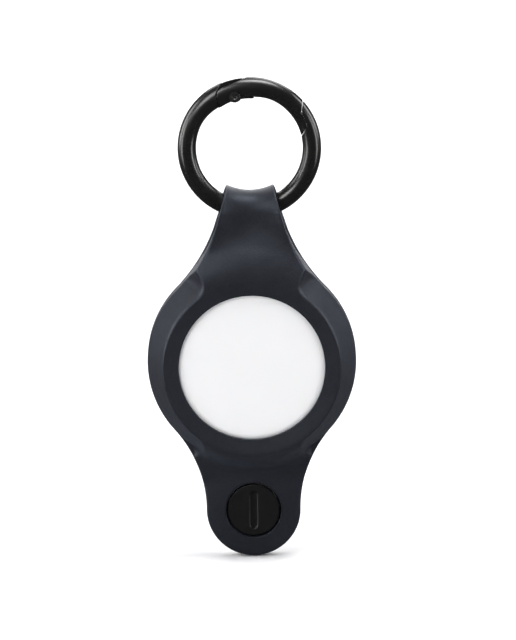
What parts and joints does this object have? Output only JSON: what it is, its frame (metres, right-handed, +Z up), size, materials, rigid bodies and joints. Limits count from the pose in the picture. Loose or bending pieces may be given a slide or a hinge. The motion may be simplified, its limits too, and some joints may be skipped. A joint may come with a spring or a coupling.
{
  "type": "bluetooth tracker tag",
  "caption": "White disc tracker held in a folded black silicone holder with a lock screw, hanging from a black spring-gate key ring.",
  "frame": {"origin": "centre of the key ring, in its middle plane", "axes": "+Z up from the tracker to the key ring, -Y out of the tracker's white face, +X to the right seen from the front"},
  "size_m": [0.0394, 0.0125, 0.0919],
  "materials": {
    "ring_metal": "gloss black coating",
    "rivet_metal": "gloss black coating",
    "spring_steel": "drawn wire",
    "silicone": "satin moulded silicone",
    "lock_plastic": "fine matte moulded",
    "washer_plastic": "natural nylon, black",
    "white_shell": "polished white",
    "cover_steel": "polished stainless",
    "cell_steel": "nickel-plated can",
    "copper": "bare copper",
    "magnet_nickel": "nickel plated",
    "yoke_steel": "stamped",
    "board_green": "solder mask",
    "frame_plastic": "moulded",
    "foam": "closed-cell foam",
    "contact_metal": "gold plated",
    "carrier_plastic": "moulded",
    "shield_metal": "tinned",
    "chip_black": "moulded package",
    "ferrite": "ferrite"
  },
  "bodies": {
    "ring": {"ring_body": "ring_metal", "gate_rivet": "rivet_metal", "gate_spring": "spring_steel"},
    "gate": {"ring_gate": "ring_metal"},
    "holder": {"holder_front": "silicone", "tracker_shell": "white_shell", "coin_cell": "cell_steel", "voice_coil": "copper", "speaker_magnet": "magnet_nickel", "magnet_yoke": "yoke_steel", "circuit_board": "board_green", "inner_frame": "frame_plastic", "cover_gasket": "foam", "positive_contacts": "contact_metal", "negative_contact": "contact_metal", "antenna_carrier": "carrier_plastic", "antenna_strips": "copper", "radio_chip": "shield_metal", "ranging_chip": "shield_metal", "memory_chip": "chip_black", "motion_sensor": "chip_black", "power_inductor": "ferrite", "clock_crystal": "shield_metal"},
    "back_panel": {"holder_back": "silicone", "lock_nut": "lock_plastic"},
    "washer": {"lock_washer": "washer_plastic"},
    "screw": {"lock_screw": "lock_plastic"},
    "cover": {"battery_cover": "cover_steel"}
  },
  "joints": [
    {"name": "gate_swing", "type": "hinge", "parent": "ring", "child": "gate", "pos_m": [-0.00267, 0, 0.00998], "axis": [0, 1, 0], "range_deg": [0, 35], "stiffness_Nm_per_rad": 0.004, "springref_deg": -20.05},
    {"name": "holder_swing", "type": "hinge", "parent": "ring", "child": "holder", "pos_m": [0, 0, -0.01175], "axis": [-1, 0, 0], "range_deg": [-120, 120]},
    {"name": "back_panel_open", "type": "hinge", "parent": "holder", "child": "back_panel", "pos_m": [0, 0.00375, -0.01625], "axis": [1, 0, 0], "range_deg": [0, 75], "stiffness_Nm_per_rad": 0.002, "springref_deg": -5.73},
    {"name": "lock_lift", "type": "slide", "parent": "holder", "child": "washer", "axis": [0, -1, 0], "range_m": [0, 0.0021]},
    {"name": "lock_turn", "type": "hinge", "parent": "washer", "child": "screw", "pos_m": [0, 0, -0.06955], "axis": [0, -1, 0], "range_deg": [0, 630]},
    {"name": "cover_twist", "type": "hinge", "parent": "holder", "child": "cover", "pos_m": [0, 0, -0.04085], "axis": [0, 1, 0], "range_deg": [0, 25]}
  ],
  "couplings": [
    {"joint": "lock_turn", "follows": "lock_lift", "rad_per_m": 5236}
  ]
}
